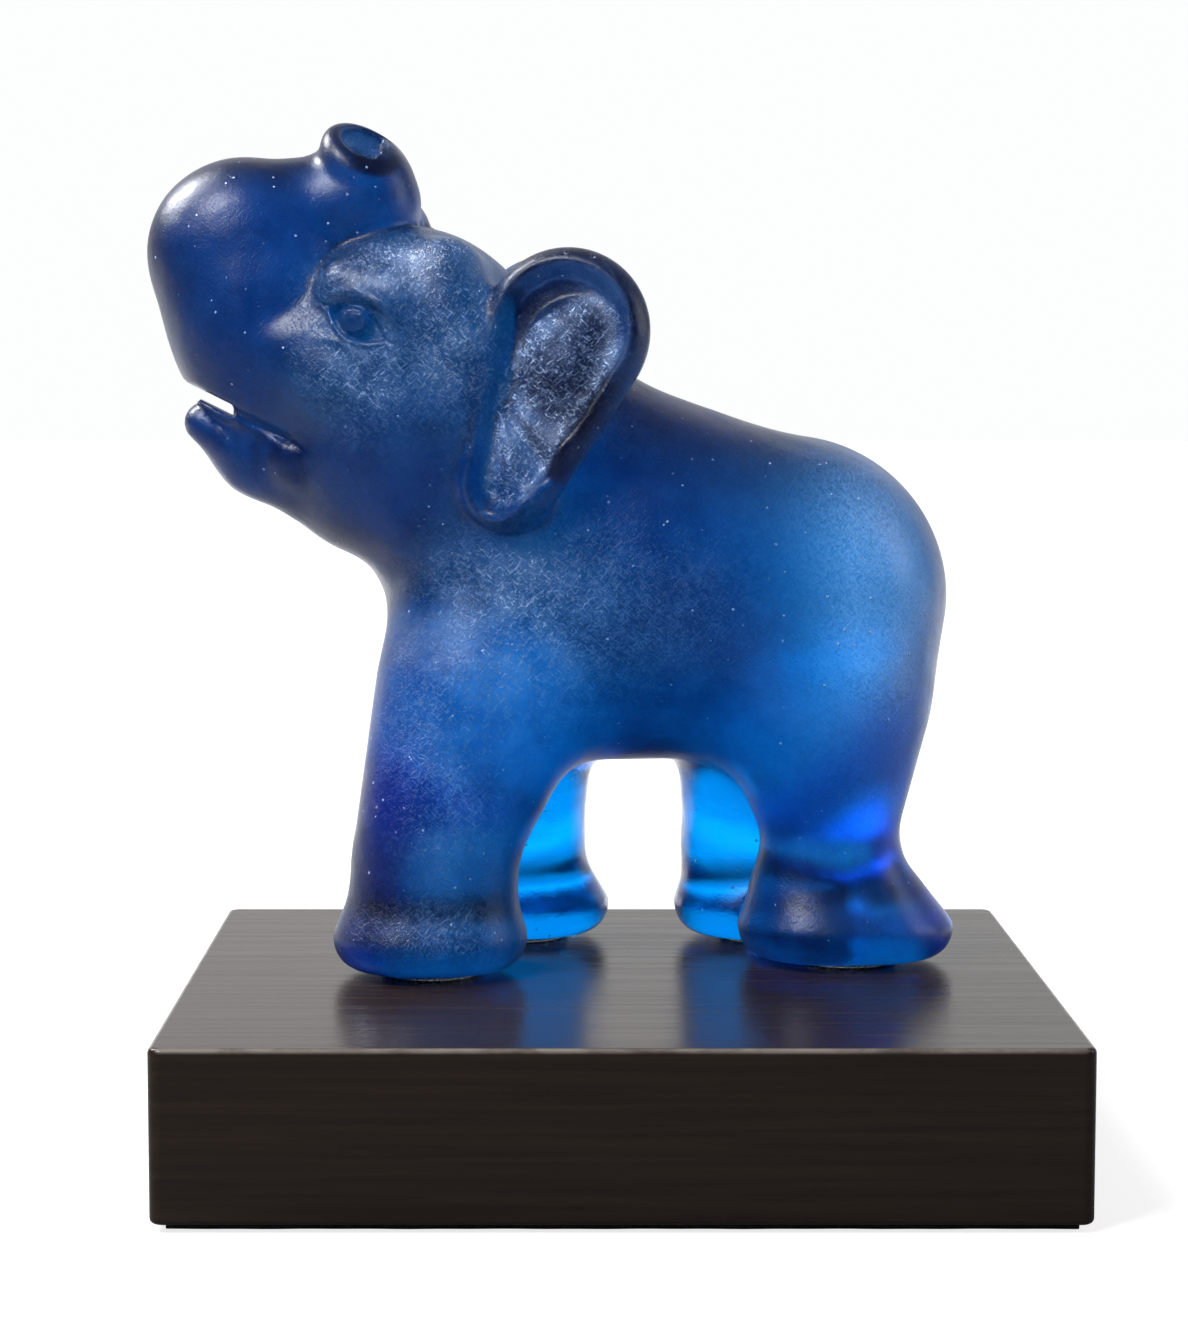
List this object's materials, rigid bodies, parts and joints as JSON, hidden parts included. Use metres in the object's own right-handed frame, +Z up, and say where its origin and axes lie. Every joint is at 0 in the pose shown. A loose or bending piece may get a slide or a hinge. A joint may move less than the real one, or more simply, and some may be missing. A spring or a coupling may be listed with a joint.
{
  "type": "cast glass elephant figurine on a wooden plinth",
  "caption": "Walking elephant cast in blue glass, trunk curled back over its forehead, standing on clear pads on a black rectangular wooden plinth.",
  "frame": {"origin": "centre of the underside of the felt, where the piece meets the table", "axes": "+Z up; the elephant faces -X; +Y points to the elephant's right side, away from the side usually shown"},
  "size_m": [0.2112, 0.17, 0.2389],
  "materials": {
    "glass": "acid-etched satin, deep cobalt blue, bright where it is thin",
    "silicone": "clear, soft and glossy",
    "black_wood": "black stain under a satin lacquer, fine straight grain",
    "felt": "black wool felt"
  },
  "bodies": {
    "root": {"elephant": "glass", "pad_front_left": "silicone", "pad_front_right": "silicone", "pad_hind_left": "silicone", "pad_hind_right": "silicone", "plinth": "black_wood", "felt": "felt"}
  },
  "joints": []
}
